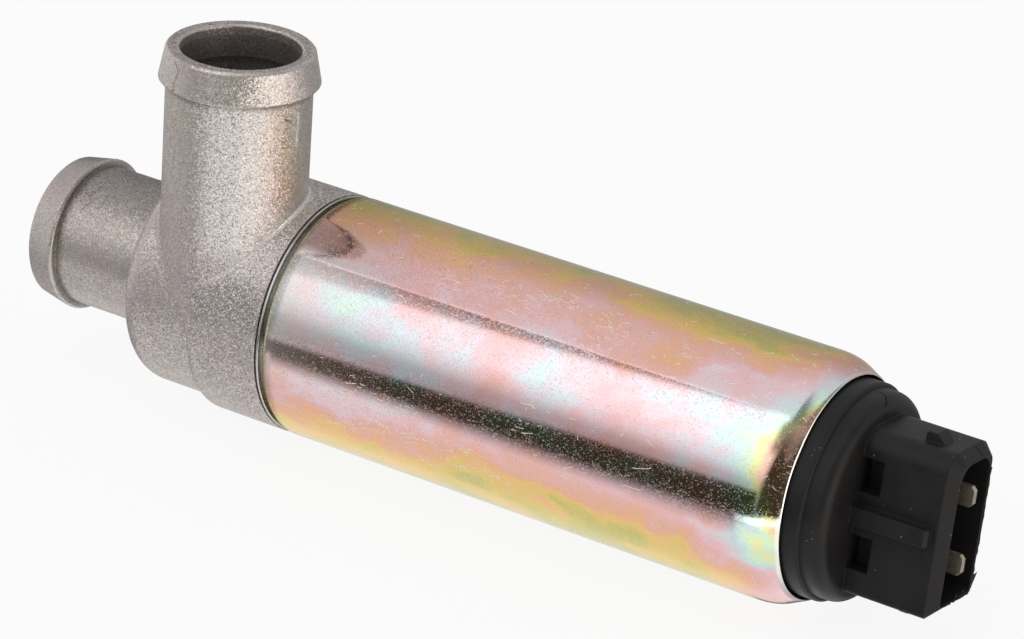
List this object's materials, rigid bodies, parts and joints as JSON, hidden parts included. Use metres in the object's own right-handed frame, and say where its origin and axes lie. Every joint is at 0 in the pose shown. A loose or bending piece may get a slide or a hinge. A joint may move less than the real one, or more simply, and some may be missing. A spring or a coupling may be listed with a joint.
{
  "type": "idle control valve",
  "caption": "Solenoid air valve for engine idling, with a cylindrical steel can, a die-cast head with beaded hose stubs at a right angle and a moulded plug socket.",
  "frame": {"origin": "on the can's axis at the middle of the can's length", "axes": "+X along the can's axis towards the plug socket, +Z along the side hose stub, away from the can's axis"},
  "size_m": [0.1437, 0.034, 0.0546],
  "materials": {
    "casting": "matte die-cast alloy with a fine blasted grain",
    "passivated_steel": "glossy zinc plate with yellow iridescent passivation",
    "bare_steel": "turned steel",
    "turned_alloy": "turned light alloy",
    "brass": "turned brass",
    "bronze": "sintered bronze",
    "copper": "enamelled copper wire",
    "rubber": "soft black rubber",
    "black_plastic": "satin moulded black, slightly dusty",
    "bobbin_plastic": "moulded, natural colour",
    "tinned_blade": "tinned brass strip"
  },
  "bodies": {
    "casing": {"valve_housing": "casting", "seat_ring": "brass", "return_spring": "bare_steel", "front_bush": "bronze", "housing_seal": "rubber", "front_plate": "bare_steel", "guide_tube": "bare_steel", "coil_bobbin": "bobbin_plastic", "coil_winding": "copper", "residual_washer": "brass", "pole_core": "bare_steel", "rear_bush": "bronze", "balance_spring": "bare_steel", "adjusting_screw": "bare_steel", "spring_washer": "bare_steel", "rear_plate": "bare_steel", "steel_can": "passivated_steel", "cap_seal": "rubber", "connector_cap": "black_plastic", "terminal_upper": "tinned_blade", "terminal_lower": "tinned_blade"},
    "plunger": {"armature": "bare_steel", "valve_shaft": "bare_steel", "valve_disc": "turned_alloy", "disc_seal": "rubber", "valve_clip": "bare_steel"}
  },
  "joints": [
    {"name": "plunger_slide", "type": "slide", "parent": "casing", "child": "plunger", "axis": [1, 0, 0], "range_m": [0, 0.0045], "stiffness_N_per_m": 750, "springref_m": -0.003, "deforming": ["return_spring", "balance_spring"]}
  ]
}
